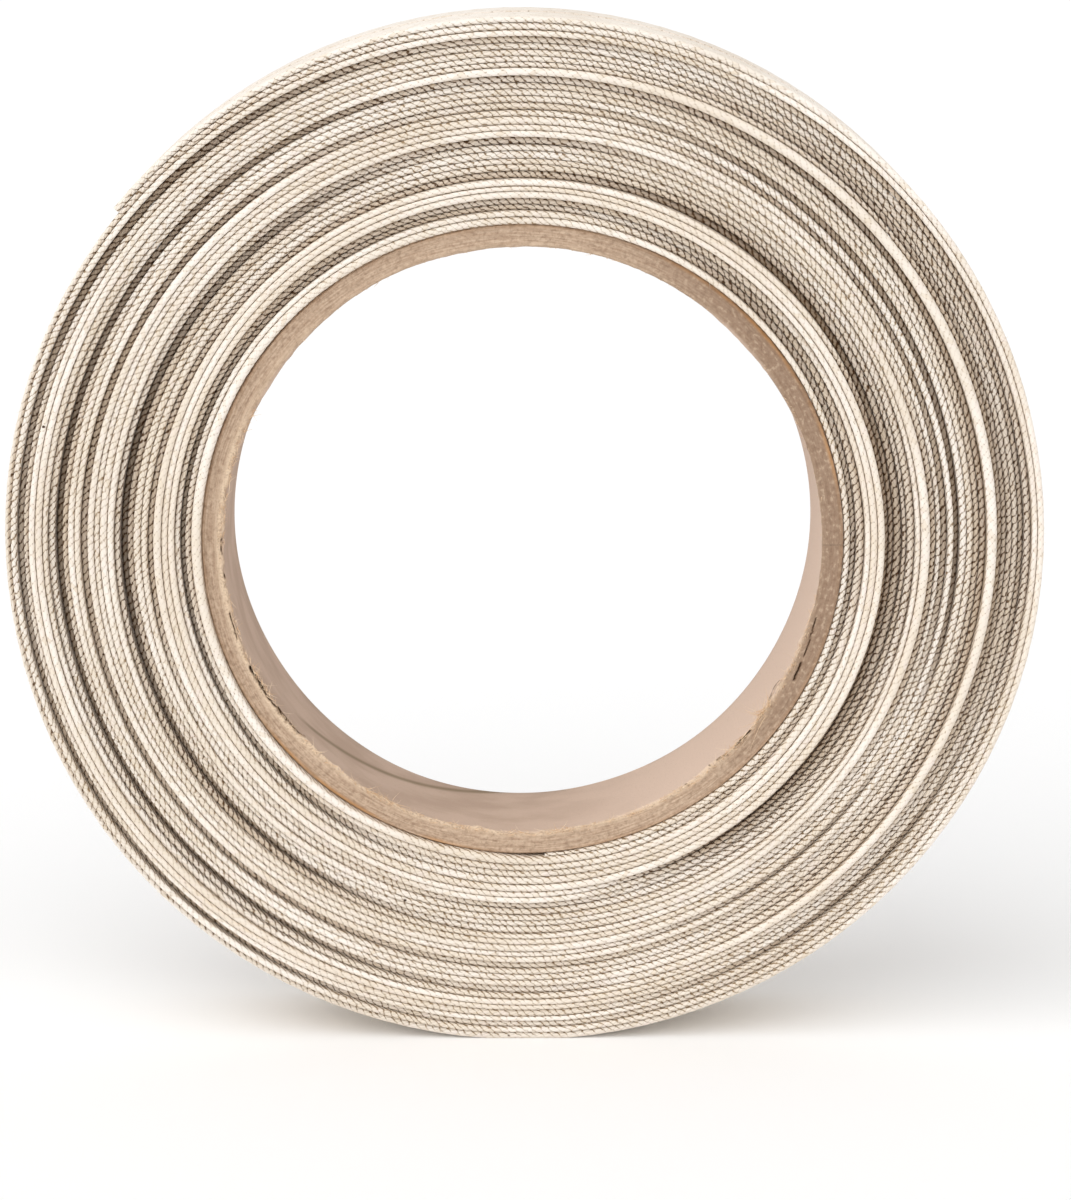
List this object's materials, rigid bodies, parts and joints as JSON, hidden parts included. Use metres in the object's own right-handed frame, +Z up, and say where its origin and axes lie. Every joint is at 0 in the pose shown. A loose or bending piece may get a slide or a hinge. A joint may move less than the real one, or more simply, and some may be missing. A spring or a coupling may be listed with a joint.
{
  "type": "roll of bias binding",
  "caption": "Roll of single-fold bias binding in unbleached cotton, wound on an open cardboard core, standing on its rim.",
  "frame": {"origin": "middle of the small flat spot on the rim that the roll stands on", "axes": "+Z up, Y along the roll's axis with the face that the picture shows towards -Y, +X to the right of that face"},
  "size_m": [0.1331, 0.0232, 0.133],
  "materials": {
    "cotton_tape": "matte unbleached plain weave",
    "core_board": "matte brown board"
  },
  "bodies": {
    "root": {"wound_tape": "cotton_tape", "core_tube": "core_board"}
  },
  "joints": []
}
